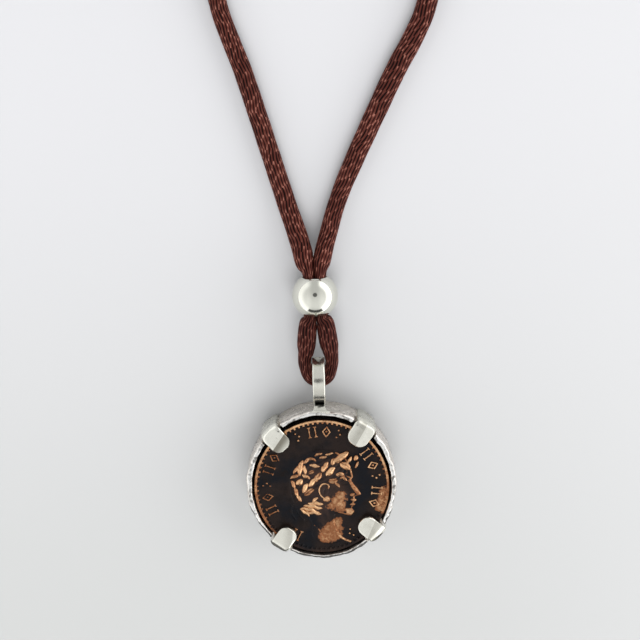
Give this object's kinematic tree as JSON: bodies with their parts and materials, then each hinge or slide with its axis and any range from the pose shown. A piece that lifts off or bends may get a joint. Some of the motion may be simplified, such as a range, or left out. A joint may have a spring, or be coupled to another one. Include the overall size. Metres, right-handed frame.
{
  "type": "coin pendant",
  "caption": "Relief coin held by claws in a round cast cup with a ring bail, hung with a ball bead on a doubled knitted cord that closes with a barrel clasp.",
  "frame": {"origin": "centre of the cup's flat back, on the surface that the pendant lies on", "axes": "+X to the coin's right, +Y from the coin to the bail and on along the cord, +Z out of the table towards the viewer"},
  "size_m": [0.0529, 0.2365, 0.0104],
  "materials": {
    "silver": "cast silver, hammered rim, polished claws and ring",
    "coin_metal": "dark patinated bronze with worn copper relief",
    "polished_silver": "mirror polish",
    "knitted_cord": "tightly knitted round cord, reddish brown"
  },
  "bodies": {
    "root": {"setting": "silver", "coin": "coin_metal", "bead": "polished_silver", "cord": "knitted_cord", "clasp": "polished_silver"}
  },
  "joints": []
}
